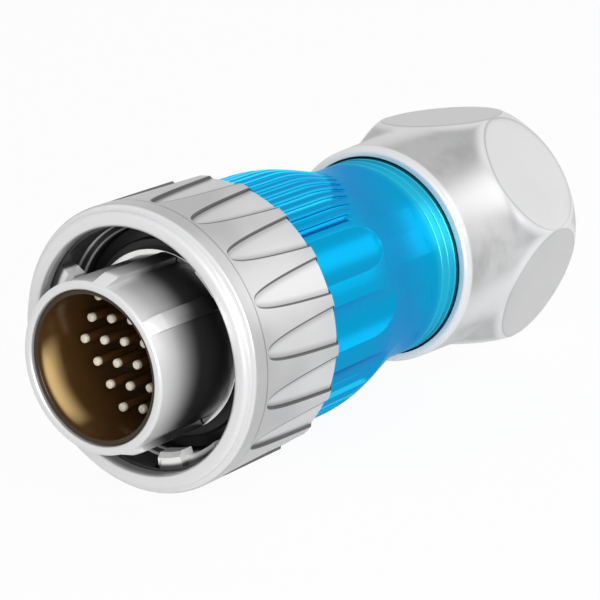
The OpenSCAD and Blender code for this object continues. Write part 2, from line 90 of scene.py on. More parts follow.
def span(node):
    """First and last station of a node along the axis."""
    low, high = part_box(node)
    return low.x / MM, high.x / MM


def outer_radius(node):
    """Largest radius of a node about the axis."""
    points = np.array([v.co[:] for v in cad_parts[node].data.vertices])
    return float(np.hypot(points[:, 1], points[:, 2]).max() / MM)


RING_X, RING_END = span("coupling_ring")
RING_R = outer_radius("coupling_ring")
GRIP_X = span("grip_body")[0]
GRIP_R = outer_radius("grip_body")
REAR_SPIGOT_END = span("grip_body")[1]
NUT_X, NUT_END = span("cable_nut")
SHELL_END = span("front_shell")[1]
SHOULDER_X = GRIP_X + GRIP_SHOWN
CLIP_X, SEAL_X = span("seal_clip")
FLANGE_X = span("face_seal")[1]
SEAL_R = outer_radius("face_seal")
WEB_END = span("spring_seat")[0]
LINER_X, LINER_END = span("barrel_liner")
DISC_X, INSERT_END = span("front_insert")
TIP_X, CUP_END = span("pin_01")


# ---- Sizes and colours that can be changed

def size_of(name, default, description):
    """Property for a length in millimetres."""
    return FloatProperty(name=name, description=description, default=default, min=0.0,
                         max=100.0, subtype="DISTANCE", unit="LENGTH")


def colour_of(name, default, description):
    """Property for a base colour."""
    return FloatVectorProperty(name=name, description=description, default=default, min=0.0,
                               max=1.0, size=3, subtype="COLOR")


class RingSizes(bpy.types.PropertyGroup):
    """Sizes of the coupling ring's look, in millimetres."""
    flute_count: IntProperty(name="Flutes", description="Number of flutes", default=18)
    flute_width: size_of("Flute width", 4.1, "Width of a flute at the rear edge")
    flute_depth: size_of("Flute depth", 0.45, "Depth of a flute's floor")
    flute_setback: size_of("Flute setback", 3.3, "From the front edge to a flute's tip")
    flute_turn: FloatProperty(name="Flute turn", description="Degrees from the top to a flute",
                              default=10.0)
    rear_depth: size_of("Rear depth", 0.3, "Depth of a flute at the rear edge")
    edge_round: size_of("Edge rounding", 0.09, "Rounding of a flute's edge")
    mouth_radius: size_of("Mouth radius", 14.0, "Radius of the ring's mouth")
    colour: colour_of("Ring colour", (0.52, 0.52, 0.525), "Base colour of the ring")


class GripSizes(bpy.types.PropertyGroup):
    """Sizes of the grip's look, in millimetres and degrees."""
    groove_count: IntProperty(name="Grooves", description="Fine grooves in a zone", default=17)
    groove_pitch: FloatProperty(name="Groove pitch", description="Degrees between grooves",
                                default=5.6)
    groove_angle: FloatProperty(name="Groove width", description="Degrees that a groove spans",
                                default=3.4)
    groove_depth: size_of("Groove depth", 0.27, "Depth of the fine grooves")
    groove_length: size_of("Groove length", 22.0, "Length of a zone's middle groove")
    groove_fade: size_of("Groove fade", 8.5, "How much shorter the outer grooves are")
    scoop_radius: size_of("Scoop radius", 5.0, "Radius of the finger scoops")
    scoop_depth: size_of("Scoop depth", 1.0, "Depth of the finger scoops")
    scoop_length: size_of("Scoop length", 15.5, "Straight length of the finger scoops")
    waist_radius: size_of("Waist radius", 12.1, "Radius of the waist")
    colour: colour_of("Grip colour", (0.001, 0.33, 0.60), "Base colour of the grip")


class NutSizes(bpy.types.PropertyGroup):
    """Sizes of the cable nut's look, in millimetres."""
    flats: size_of("Across flats", 28.2, "Distance between opposite flats")
    dome_radius: size_of("Dome radius", 16.25, "Largest radius of the dome")
    collar_radius: size_of("Collar radius", 13.5, "Radius of the front collar")
    edge_round: size_of("Edge rounding", 0.32, "Softness of the flats' edges")
    outlet_radius: size_of("Outlet radius", 7.4, "Radius of the cable outlet")
    colour: colour_of("Nut colour", (0.52, 0.52, 0.525), "Base colour of the nut")


class ShellSizes(bpy.types.PropertyGroup):
    """Sizes of the barrel's look, in millimetres."""
    barrel_radius: size_of("Barrel radius", 9.7, "Outside radius of the barrel")
    barrel_wall: size_of("Barrel wall", 1.0, "Wall of the barrel")
    key_width: size_of("Key width", 1.9, "Width of a key")
    key_height: size_of("Key height", 0.7, "Height of a key")
    pin_radius: size_of("Pin radius", 0.5, "Radius of a contact's pin")
    colour: colour_of("Shell colour", (0.72, 0.72, 0.72), "Base colour of the barrel")


class StageSizes(bpy.types.PropertyGroup):
    """Light and floor."""
    lamp_power: FloatProperty(name="Key lamp", description="Power of the key lamp", default=1.6,
                              subtype="POWER", unit="POWER")
    floor_white: FloatProperty(name="Floor white", default=0.95,
                               description="Share of plain white in the floor as it is seen")
    sky: FloatProperty(name="Sky", description="Strength of the even sky light", default=0.52)


# ---- Meshes

def on_axis(x, radius, angle):
    """Points from stations, radii and angles in degrees from the top, turning towards -Y."""
    x, radius, angle = np.broadcast_arrays(x, radius, np.radians(angle))
    return np.stack([x, -radius * np.sin(angle), radius * np.cos(angle)], axis=-1)


def lattice_faces(rows, cols, closed=True):
    """Quads of a lattice of points: rows close on themselves, and columns where asked."""
    faces = []
    for i in range(rows):
        below, above = i * cols, (i + 1) % rows * cols
        for j in range(cols if closed else cols - 1):
            k = (j + 1) % cols
            faces.append((below + j, below + k, above + k, above + j))
    return faces


def mirrored(steps):
    """[place, share] steps up to a middle, and the same steps beyond it."""
    return steps + [(-place, share) for place, share in reversed(steps[:-1])]


def raised(row, rise):
    """Row of points moved away from the axis."""
    radius = np.hypot(row[:, 1], row[:, 2])[:, None]
    return np.hstack([row[:, :1], row[:, 1:] * (radius + rise) / radius])


def smooth(mesh, sharp):
    """Smooths all but the edges that are sharper than an angle in degrees."""
    mesh.shade_smooth()
    mesh.set_sharp_from_angle(angle=math.radians(sharp))


def link_object(name, data):
    """New object in the scene's collection."""
    made = bpy.data.objects.new(name, data)
    bpy.context.scene.collection.objects.link(made)
    return made


def add_object(name, points, faces, sharp=SHARP):
    """Object from points in millimetres, with its place in its mesh and its doubles merged."""
    mesh = bpy.data.meshes.new(name)
    mesh.from_pydata((np.asarray(points).reshape(-1, 3) * MM).tolist(), [], faces)
    work = bmesh.new()
    work.from_mesh(mesh)
    bmesh.ops.remove_doubles(work, verts=work.verts, dist=0.0015 * MM)
    bmesh.ops.dissolve_degenerate(work, edges=work.edges, dist=0.001 * MM)
    bmesh.ops.recalc_face_normals(work, faces=work.faces)
    work.to_mesh(mesh)
    work.free()
    smooth(mesh, sharp)
    return link_object(name, mesh)


def rounded(corners, steps=5):
    """Closed outline from [station, radius, rounding] corners, with arcs at the corners."""
    outline = []
    total = len(corners)
    for i, (x, r, size) in enumerate(corners):
        here = np.array([x, r], float)
        if size <= 0:
            outline.append(here)
            continue
        back = np.array(corners[i - 1][:2], float) - here
        ahead = np.array(corners[(i + 1) % total][:2], float) - here
        back_len, ahead_len = np.linalg.norm(back), np.linalg.norm(ahead)
        back, ahead = back / back_len, ahead / ahead_len
        half = math.acos(max(-1.0, min(1.0, float(back @ ahead)))) / 2
        if half > math.radians(89):
            outline.append(here)
            continue
        reach = min(size / math.tan(half), back_len * 0.49, ahead_len * 0.49)
        radius = reach * math.tan(half)
        middle = here + (back + ahead) / np.linalg.norm(back + ahead) * radius / math.sin(half)
        start, end = here + back * reach - middle, here + ahead * reach - middle
        turn = math.atan2(start[0] * end[1] - start[1] * end[0], start @ end)
        for k in range(steps + 1):
            a = turn * k / steps
            c, s = math.cos(a), math.sin(a)
            outline.append(middle + np.array([start[0] * c - start[1] * s,
                                              start[0] * s + start[1] * c]))
    return np.array(outline)


def turned_object(name, corners, segments=144):
    """Closed solid turned about the axis."""
    outline = rounded(corners)
    angles = np.arange(segments) * 360.0 / segments
    points = on_axis(outline[:, :1], outline[:, 1:], angles[None, :])
    return add_object(name, points, lattice_faces(len(outline), segments))


def apply_modifiers(piece):
    """Replaces a piece's mesh by its evaluated one and takes its modifiers off."""
    graph = bpy.context.evaluated_depsgraph_get()
    mesh = bpy.data.meshes.new_from_object(piece.evaluated_get(graph))
    piece.modifiers.clear()
    old, piece.data = piece.data, mesh
    mesh.name = piece.name
    bpy.data.meshes.remove(old)


# ---- Node trees

def add_node(tree, kind, settings, values, output=0):
    """Output of a new node with its settings, and with values or links on its inputs."""
    node = tree.nodes.new(kind)
    for key, value in settings.items():
        setattr(node, key, value)
    for key, value in values.items():
        if isinstance(value, bpy.types.NodeSocket):
            tree.links.new(value, node.inputs[key])
        else:
            node.inputs[key].default_value = value
    return node.outputs[output]


def new_tree(name, inputs):
    """Geometry tree with named inputs; returns the tree and its inputs' sockets."""
    tree = bpy.data.node_groups.new(name, "GeometryNodeTree")
    for label, kind in [("Geometry", "NodeSocketGeometry"), *inputs]:
        tree.interface.new_socket(label, in_out="INPUT", socket_type=kind)
    tree.interface.new_socket("Geometry", in_out="OUTPUT", socket_type="NodeSocketGeometry")
    return tree, tree.nodes.new("NodeGroupInput").outputs


def end_tree(tree, geometry, material):
    """Ends a geometry tree in Set Material."""
    painted = add_node(tree, "GeometryNodeSetMaterial", {}, {
        "Geometry": geometry, "Material": material})
    tree.links.new(painted, tree.nodes.new("NodeGroupOutput").inputs[0])
    return tree


def sector_tree():
    """Tree that turns copies of a sector about X, joins them and sets their material."""
    tree, given = new_tree("turned sectors", [
        ("Count", "NodeSocketInt"), ("Merge", "NodeSocketFloat"),
        ("Material", "NodeSocketMaterial")])
    places = add_node(tree, "GeometryNodePoints", {}, {"Count": given["Count"]})
    index = add_node(tree, "GeometryNodeInputIndex", {}, {})
    step = add_node(tree, "ShaderNodeMath", {"operation": "DIVIDE"}, {
        0: 2 * math.pi, 1: given["Count"]})
    turn = add_node(tree, "ShaderNodeMath", {"operation": "MULTIPLY"}, {0: index, 1: step})
    angle = add_node(tree, "ShaderNodeCombineXYZ", {}, {"X": turn})
    copies = add_node(tree, "GeometryNodeInstanceOnPoints", {}, {
        "Points": places, "Instance": given["Geometry"], "Rotation": angle})
    real = add_node(tree, "GeometryNodeRealizeInstances", {}, {0: copies})
    joined = add_node(tree, "GeometryNodeMergeByDistance", {}, {
        "Geometry": real, "Distance": given["Merge"]})
    return end_tree(tree, joined, given["Material"])


def contact_tree():
    """Tree that puts one contact on each point and sets its material."""
    tree, given = new_tree("contacts on places", [
        ("Contact", "NodeSocketObject"), ("Material", "NodeSocketMaterial")])
    source = add_node(tree, "GeometryNodeObjectInfo", {}, {"Object": given["Contact"]}, "Geometry")
    copies = add_node(tree, "GeometryNodeInstanceOnPoints", {}, {
        "Points": given["Geometry"], "Instance": source})
    real = add_node(tree, "GeometryNodeRealizeInstances", {}, {0: copies})
    return end_tree(tree, real, given["Material"])


def run_tree(piece, tree, values, sharp):
    """Runs a tree on a piece with the given input values and keeps the plain mesh."""
    worker = piece.modifiers.new(tree.name, "NODES")
    worker.node_group = tree
    for item in tree.interface.items_tree:
        if item.item_type == "SOCKET" and item.in_out == "INPUT" and item.name in values:
            worker[item.identifier] = values[item.name]
    apply_modifiers(piece)
    smooth(piece.data, sharp)


def sectors_object(name, rows, count, sharp, material):
    """Object from the rows of points of one sector, turned about the axis and joined."""
    faces = lattice_faces(len(rows), len(rows[0]), closed=False)
    piece = add_object(name, np.array(rows), faces, sharp)
    run_tree(piece, sector_tree(), {"Count": count, "Merge": 0.003 * MM, "Material": material},
             sharp)
    return piece


# ---- Materials

class Value:
    """Socket that takes part in Python expressions; each operation adds a Math node."""

    def __init__(self, finish, socket):
        self.finish = finish
        self.socket = socket

    def __add__(self, other):
        return self.finish.math("ADD", self, other)

    __radd__ = __add__

    def __sub__(self, other):
        return self.finish.math("SUBTRACT", self, other)

    def __rsub__(self, other):
        return self.finish.math("SUBTRACT", other, self)

    def __mul__(self, other):
        return self.finish.math("MULTIPLY", self, other)

    __rmul__ = __mul__

    def power(self, other):
        return self.finish.math("POWER", self, other)

    def size(self):
        return self.finish.math("ABSOLUTE", self)

    def cosine(self):
        return self.finish.math("COSINE", self)

    def sine(self):
        return self.finish.math("SINE", self)


class Finish:
    """Material with one Principled shader, whose tone is laid in layers over its colour."""

    def __init__(self, name, colour, roughness, metallic=0.0, coat=0.0):
        self.colour = self.tone = tuple(colour)
        self.material = bpy.data.materials.new(name)
        self.material.use_nodes = True
        self.tree = self.material.node_tree
        self.shader = self.tree.nodes["Principled BSDF"]
        for label, value in (("Base Color", (*self.colour, 1.0)), ("Roughness", roughness),
                             ("Metallic", metallic), ("Coat Weight", coat),
                             ("Coat Roughness", COAT_ROUGHNESS)):
            self.shader.inputs[label].default_value = value

    def add(self, kind, settings, values, output=0):
        """Node of a kind with its settings, and values or links on its inputs."""
        values = {key: getattr(value, "socket", value) for key, value in values.items()}
        return Value(self, add_node(self.tree, kind, settings, values, output))

    def math(self, operation, *values):
        """Math node on values and numbers."""
        return self.add("ShaderNodeMath", {"operation": operation}, dict(enumerate(values)))

    def noise(self, scale, detail=2.0, stretch=(1.0, 1.0, 1.0)):
        """Noise of about the given count of grains per millimetre."""
        where = self.add("ShaderNodeTexCoord", {}, {}, "Object")
        scaled = self.add("ShaderNodeMapping", {}, {
            "Vector": where, "Scale": tuple(s / MM for s in stretch)})
        return self.add("ShaderNodeTexNoise", {}, {
            "Vector": scaled, "Scale": scale, "Detail": detail})

    def shade(self, factor):
        """The finish's colour, darker or lighter."""
        return tuple(min(1.0, c * factor) for c in self.colour)

    def lay(self, share, over):
        """Lays a colour, or a shade of the finish's own colour, over the tone."""
        under, over = (c if isinstance(c, Value) else (*c, 1.0) for c in (
            self.tone, self.shade(over) if isinstance(over, float) else over))
        self.tone = self.add("ShaderNodeMix", {"data_type": "RGBA"}, {
            0: share, 6: under, 7: over}, 2)

    def vary(self, share, dark, light):
        """Starts the tone between two shades of the finish's colour."""
        self.tone = self.shade(dark)
        self.lay(share, light)

    def painted(self):
        """The material, with its tone as base colour."""
        self.drive("Base Color", self.tone)
        return self.material

    def drive(self, name, value):
        """Feeds a shader input."""
        self.tree.links.new(value.socket, self.shader.inputs[name])

    def bump(self, height, strength, distance):
        """Bump of the given depth in millimetres."""
        self.drive("Normal", self.add("ShaderNodeBump", {}, {
            "Strength": strength, "Distance": distance * MM, "Height": height}))

    def coordinate(self, axis):
        """Place along X, Y or Z, in millimetres."""
        where = self.add("ShaderNodeTexCoord", {}, {}, "Object")
        return self.add("ShaderNodeSeparateXYZ", {}, {0: where}, axis) * (1 / MM)

    def station(self):
        """Station along the axis, in millimetres."""
        return self.coordinate("X")

    def distance(self):
        """Distance from the axis, in millimetres."""
        y, z = self.coordinate("Y"), self.coordinate("Z")
        return (y * y + z * z).power(0.5)

    def turn(self, step, start=0.0):
        """Angle in radians from the middle of the nearest of evenly turned sectors."""
        angle = self.math("ARCTAN2", self.coordinate("Y"), self.coordinate("Z"))
        size = math.radians(step)
        return self.math("FLOORED_MODULO", angle + (size / 2 - math.radians(start)),
                         size) - size / 2

    def above(self, value, low, high):
        """0 below low, 1 above high, and smooth between."""
        return self.add("ShaderNodeMapRange", {"interpolation_type": "SMOOTHSTEP"}, {
            "Value": value, "From Min": low, "From Max": high})

    def below(self, value, low, high):
        """1 below low, 0 above high, and smooth between."""
        return 1.0 - self.above(value, low, high)


def satin_metal(name, colour):
    """Die-cast metal with a fine grain and broad clouds."""
    finish = Finish(name, colour, SATIN_ROUGHNESS, 0.5)
    fine = finish.noise(7.0, 3.0)
    broad = finish.above(finish.noise(0.09, 1.0), 0.36, 0.64)
    finish.drive("Roughness", fine * 0.08 + broad * 0.06 + (SATIN_ROUGHNESS - 0.07))
    finish.bump(fine, 0.12, 0.008)
    finish.vary(broad * 0.75 + fine * 0.25, 0.80, 1.08)
    return finish


def ring_finish(s):
    """Satin ring: painted highlights on its lip, its flutes' floors and its throat's rims, and
    painted shade on the flutes' banks, in dark lines round the flutes, and in its mouth and throat.
    """
    finish = satin_metal("ring satin", s.colour)
    above, below = finish.above, finish.below
    station, away = finish.station(), finish.distance()
    # Painted highlight on the lip
    lip = below(station, RING_X + LIP_LEN, RING_X + LIP_LEN + 0.2)
    finish.lay(lip * 0.9, PAINTED_HIGHLIGHT)

    tip = RING_X + s.flute_setback
    share = finish.math("MAXIMUM", (station - tip) * (1 / (RING_END - REAR_BEVEL - tip)), 0.0)
    half = share.power(FLUTE_POWER) * (s.flute_width / 2)
    side = (finish.turn(360.0 / s.flute_count, s.flute_turn).sine() * away).size()
    outside = above(away, RING_R - 0.7, RING_R - 0.6)
    # Painted highlight on the flutes' floors, and painted shade on their banks
    floor = above(half - side, -0.02, 0.1) * outside
    finish.lay(floor * 0.55, 1.3)
    bank = floor * below(half - side, 0.0, 0.9)
    finish.lay(bank * 0.55, 0.4)
    # Dark line of painted shade round each flute's edge
    outline = below((side - half - 0.04).size(), 0.08, 0.19) * outside
    outline = outline * above(station, tip - 0.12, tip - 0.04)
    finish.lay(outline * 0.9, (0.05, 0.05, 0.05))

    # Painted shade in the mouth and the throat
    inner = below(away, s.mouth_radius + 0.7, s.mouth_radius + 1.1)
    finish.lay(inner * above(station, RING_X + 0.45, RING_X + 0.75), 0.95)
    throat = inner * above(station, RING_X + 1.5, RING_X + 1.7)
    finish.lay(throat, (0.03, 0.03, 0.032))
    # Painted highlight on the throat's rims
    for rim in THROAT_RIMS:
        finish.lay(below((station - rim).size(), 0.1, 0.2) * throat, 1.1)
    return finish.painted()


def nut_finish(s):
    """Satin nut: painted dark reflections in clouds on its dome, painted highlights round its
    flats and its collar, lighter flats, and painted shade inside from its recess back.
    """
    finish = satin_metal("nut satin", s.colour)
    above, below = finish.above, finish.below
    station, away = finish.station(), finish.distance()
    from_flat = finish.turn(60.0).cosine() * away - s.flats / 2
    # Painted dark reflections, in clouds on the dome away from the flats
    cloud = above(finish.noise(0.22, 3.0), 0.38, 0.68) * below(from_flat, -1.2, -0.6)
    finish.lay(cloud * 0.6, 0.6)
    # Painted highlight on the dome's band round each flat
    edge = above(from_flat, -0.9, -0.2) * below(from_flat, -0.11, -0.06)
    finish.lay(edge * 0.7, PAINTED_HIGHLIGHT)
    face = above(from_flat, -0.04, -0.02) * below(from_flat, 0.04, 0.08)
    finish.lay(face * 0.6, 1.08)
    # Painted highlight on the collar's front
    collar = below(station, NUT_X + 0.9, NUT_X + 1.5)
    finish.lay(collar * 0.9, PAINTED_HIGHLIGHT)
    # Painted shade inside the nut, from its recess back
    inside = below(away, 12.45, 12.55) * below(station, NUT_END - 5.0, NUT_END - 4.0)
    finish.lay(inside, (0.02, 0.03, 0.05))
    return finish.painted()


def blue_finish(s, zones):
    """Bright anodised metal: painted highlights on the ridges between the grooves and in a broad
    band before the shoulder, and painted shade on the spigot behind the shoulder.
    """
    finish = Finish("grip anodised blue", s.colour, 0.3, 0.85)
    finish.shader.inputs["Specular Tint"].default_value = (0.02, 0.5, 0.85, 1.0)
    finish.shader.inputs["Specular IOR Level"].default_value = 0.3
    above, below = finish.above, finish.below
    fine = finish.noise(1.6, 3.0, (2.6, 0.4, 0.4))
    station = finish.station()
    finish.drive("Roughness", fine * 0.08 + 0.26)
    finish.vary(fine, 0.96, 1.04)

    pitch, half = math.radians(s.groove_pitch), math.radians(s.groove_angle / 2)
    side = (s.groove_count - 1) / 2 * pitch
    from_zone = finish.turn(360.0 / len(zones), zones[0])
    from_groove = finish.math("FLOORED_MODULO", from_zone + pitch * (s.groove_count + 3.5),
                              pitch) - pitch / 2
    share = from_zone * (1 / side)
    end = GRIP_X + s.groove_length - share * share * s.groove_fade
    # Painted highlight on the ridges between the fine grooves
    ridge = above(from_groove.size(), half - 0.004, half + 0.004)
    ridge = ridge * below(from_zone.size(), side + half, side + half + 0.01)
    finish.lay(ridge * below(station - end, -1.0, 0.0) * 0.75, (0.04, 0.66, 0.95))

    # Broad painted highlight in front of the shoulder
    cut = above(station, SHOULDER_X - 5.5, SHOULDER_X - 3.6)
    cut = cut * below(station, SHOULDER_X - 0.9, SHOULDER_X - 0.2)
    finish.lay(cut * 0.3, (0.10, 0.80, 0.80))
    # Painted shade on the spigot behind the shoulder
    finish.lay(above(station, SHOULDER_X + 0.02, SHOULDER_X + 0.1), (0.01, 0.02, 0.05))
    return finish.painted()


def plated_finish(colour):
    """Satin plating on the barrel, with painted shade from behind the rim to its root, starting
    further back on top.
    """
    finish = Finish("barrel satin plating", colour, 0.33, 0.65)
    # Painted shade from behind the rim to the root
    finish.lay(finish.above(finish.station() - finish.coordinate("Z") * 0.13, 2.6, 7.2), 0.06)
    return finish.painted()


def moulded_finish(name, colour, roughness, coat):
    """Glossy moulding with a faint flow in its tone."""
    finish = Finish(name, colour, roughness, 0.0, coat)
    flow = finish.noise(0.3)
    finish.drive("Roughness", flow * 0.08 + (roughness - 0.04))
    finish.vary(flow, 0.8, 1.2)
    return finish.painted()


def bronze_lining(colour):
    """Dark bronze lining with a painted golden highlight low on one side and painted shade on its
    front edge.
    """
    finish = Finish("liner bronze", colour, 0.24, 0.3)
    above, below = finish.above, finish.below
    station, flow = finish.station(), finish.noise(0.25)
    aside = finish.coordinate("Y") * 0.93 - finish.coordinate("Z") * 0.37
    finish.vary(flow, 0.85, 1.15)
    # Painted golden highlight low on one side
    sheen = above(aside + flow * 0.9, 6.5, 8.4) * above(station, 0.9, 1.6)
    finish.lay(sheen * below(station, 1.7, 4.6), (1.0, 0.70, 0.30))
    # Painted shade on the front edge
    finish.lay(below(station, LINER_X + 0.06, LINER_X + 0.2), (0.03, 0.015, 0.005))
    return finish.painted()


def contact_finish():
    """Warm gold contacts, bright at their tips, with painted shade behind the tips."""
    finish = Finish("contact warm gold", (1.0, 0.94, 0.80), 0.3)
    # Painted shade behind the tips
    finish.lay(finish.above(finish.station(), TIP_X + 0.3, TIP_X + 0.7), (0.09, 0.038, 0.012))
    return finish.painted()


def rubber_finish(name):
    """Black rubber."""
    finish = Finish(name, (0.012, 0.012, 0.013), 0.45)
    dust = finish.noise(0.8, 3.0)
    finish.drive("Roughness", dust * 0.2 + 0.38)
    finish.bump(dust, 0.2, 0.02)
    return finish.material


def metal_finish(name, colour, roughness):
    """Plain machined metal with a little change in its gloss."""
    finish = Finish(name, colour, roughness, 1.0)
    marks = finish.noise(0.9)
    finish.drive("Roughness", marks * 0.1 + (roughness - 0.05))
    finish.vary(marks, 0.93, 1.05)
    return finish.painted()


def lock_finish():
    """Pale spring steel with painted shade on its outer band, in the ring's throat."""
    finish = Finish("lock smoky steel", (1.0, 1.0, 0.99), 0.3, 0.2)
    # Painted shade on the outer band
    finish.lay(finish.above(finish.distance(), 13.0, 13.5), (0.06, 0.06, 0.06))
    return finish.painted()


def settle(piece, body, slot, material, *nodes):
    """Gives a piece its material and body, and hides the CAD nodes it stands for (slot: unused)."""
    if material is not None:
        piece.data.materials.clear()
        piece.data.materials.append(material)
    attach(piece, body)
    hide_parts(*nodes)


def dress_copy(node, bevel, body, slot, material):
    """Dresses a CAD node as a copy with merged vertices and small rounded edges."""
    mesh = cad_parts[node].data.copy()
    mesh.name = node + "_look"
    work = bmesh.new()
    work.from_mesh(mesh)
    bmesh.ops.remove_doubles(work, verts=work.verts, dist=0.002 * MM)
    bmesh.ops.dissolve_limit(work, angle_limit=math.radians(1.0), verts=work.verts,
                             edges=work.edges)
    work.to_mesh(mesh)
    work.free()
    mesh.materials.clear()
    if "custom_normal" in mesh.attributes:
        mesh.attributes.remove(mesh.attributes["custom_normal"])
    piece = link_object(mesh.name, mesh)
    edge = piece.modifiers.new("edges", "BEVEL")
    edge.width, edge.segments = bevel * MM, 3
    edge.limit_method, edge.angle_limit = "ANGLE", math.radians(28)
    edge.use_clamp_overlap = True
    apply_modifiers(piece)
    smooth(piece.data, SHARP)
    settle(piece, body, slot, material, node)


def paint_node(node, material):
    """Gives a CAD node that is kept its material."""
    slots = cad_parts[node].material_slots
    if not slots:
        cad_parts[node].data.materials.append(material)
    for one in slots:
        one.material = material


# ---- Operators

class CONNECTOR_OT_ring(bpy.types.Operator):
    """Build the coupling ring: one sector with its flute, turned and joined"""
    bl_idname = "connector.ring"
    bl_label = "Coupling ring"

    # Steps, lengths, radii and stations in millimetres, and how many steps a row has
    lip_step = 0.75
    skirt_gap = 0.35
    web_len, web_bore = 1.5, 11.5
    guide_bore, guide_x, guide_end = 13.0, 12.15, 12.75
    groove_setback, groove_end, groove_depth = 1.8, 11.95, 0.6
    land_steps, floor_steps, flute_steps = 6, 5, 26
    # Power that crowds the rows towards the flute's tip
    row_power = 2.5

    # [outwards, up] in shares of the edge rounding, from a flute's land to its floor
    wall = ((1.0, 0.0), (0.5, -0.12), (0.15, -0.4), (0.0, -1.0))
    foot = ((0.0, 1.0), (-0.35, 0.3), (-1.0, 0.0))

    def outside(self, s):
        """Rows in front of the flutes: [station, radius] along the lip and its shoulder."""
        lip_r, lip_end = RING_R - self.lip_step, RING_X + LIP_LEN
        return rounded([(RING_X + 2.0, s.mouth_radius, 0.0), (RING_X, s.mouth_radius, 0.45),
                        (RING_X, lip_r, 0.5), (lip_end, lip_r, 0.08), (lip_end, RING_R, 0.45),
                        (RING_X + 3.0, RING_R, 0.0)], 6)[1:]

    def inside(self, s):
        """Rows behind the rear edge: the skirt, the web, the guide and the lock groove."""
        skirt_r, mouth_r = GRIP_R + self.skirt_gap, s.mouth_radius
        web_x, groove_x = WEB_END - self.web_len, RING_X + self.groove_setback
        groove_r = mouth_r + self.groove_depth
        return rounded([(RING_END, RING_R - REAR_BEVEL, 0.0), (RING_END, skirt_r, 0.15),
                        (WEB_END, skirt_r, 0.2), (WEB_END, self.web_bore, 0.1),
                        (web_x, self.web_bore, 0.1), (web_x, self.guide_bore, 0.1),
                        (self.guide_end, self.guide_bore, 0.15), (self.guide_x, mouth_r, 0.1),
                        (self.groove_end, mouth_r, 0.0), (self.groove_end, groove_r, 0.0),
                        (groove_x, groove_r, 0.0), (groove_x, mouth_r, 0.05),
                        (RING_X + 0.6, mouth_r, 0.0)], 4)[1:-1]

    def plain_row(self, s, x, radius):
        """Row of a turned surface: all the flute's columns lie in its middle."""
        land = np.linspace(-180.0 / s.flute_count, 0.0, self.land_steps + 1)
        side = len(self.wall) + len(self.foot) - 1 + self.floor_steps
        return on_axis(x, radius, np.concatenate([land, np.zeros(2 * side + 1), -land[::-1]]))

    def flute_row(self, s, t):
        """Row at a step along the flute: from the land down the wall to the floor and back."""
        tip, soft, half = RING_X + s.flute_setback, s.edge_round, 180.0 / s.flute_count
        share = t ** self.row_power
        x = tip + share * (RING_END - REAR_BEVEL - tip)
        y = s.flute_width / 2 * share ** FLUTE_POWER
        floor_r = RING_R - s.flute_depth + (s.flute_depth - s.rear_depth) * t
        power = self.row_power * FLUTE_POWER
        dx = self.row_power * t ** (self.row_power - 1) * (RING_END - tip)
        dy = s.flute_width / 2 * power * max(t, 1e-4) ** (power - 1)
        length = math.hypot(dx, dy)
        nx, ny = -dy / length, dx / length
        edge = math.asin(min(y + ny * soft, RING_R) / RING_R)
        right = []
        for j in range(self.land_steps):
            angle = edge + (math.radians(half) - edge) * (1 - j / self.land_steps)
            right.append((x + nx * soft * j / self.land_steps, RING_R * math.sin(angle),
                          RING_R * math.cos(angle)))
        for level, steps in ((RING_R, self.wall), (floor_r, self.foot)):
            for out, up in steps:
                across = max(0.0, y + ny * out * soft)
                right.append((x + nx * out * soft, across,
                              math.sqrt(level ** 2 - across ** 2) + up * soft))
        foot_x, foot_y = right[-1][:2]
        for j in range(1, self.floor_steps + 1):
            across = foot_y * (1 - j / (self.floor_steps + 1))
            right.append((foot_x, across, math.sqrt(floor_r ** 2 - across ** 2)))
        left = [(px, -py, pz) for px, py, pz in reversed(right)]
        return np.array(right + [(foot_x, 0.0, floor_r)] + left)

    def execute(self, context):
        s = context.scene.connector_ring
        front = RING_X + s.flute_setback - s.edge_round
        rows = [self.plain_row(s, x, r) for x, r in self.outside(s) if x < front - 0.05]
        rows.append(self.plain_row(s, front - 0.35, RING_R))
        rows += [self.flute_row(s, k / self.flute_steps) for k in range(self.flute_steps + 1)]
        bevel = raised(rows[-1], -REAR_BEVEL)
        bevel[:, 0] = RING_END
        rows += [bevel] + [self.plain_row(s, x, r) for x, r in self.inside(s)]
        piece = sectors_object("coupling_ring_look", rows, s.flute_count, 30.0, ring_finish(s))
        piece.data.transform(Matrix.Rotation(math.radians(s.flute_turn), 4, "X"))
        settle(piece, RING_BODY, "ring_metal", None, "coupling_ring")
        return {"FINISHED"}


class CONNECTOR_OT_lock(bpy.types.Operator):
    """Build the lock ring with its lugs and ramps"""
    bl_idname = "connector.lock"
    bl_label = "Lock ring"

    def execute(self, context):
        dress_copy("lock_ring", 0.1, RING_BODY, "lock_steel", lock_finish())
        return {"FINISHED"}


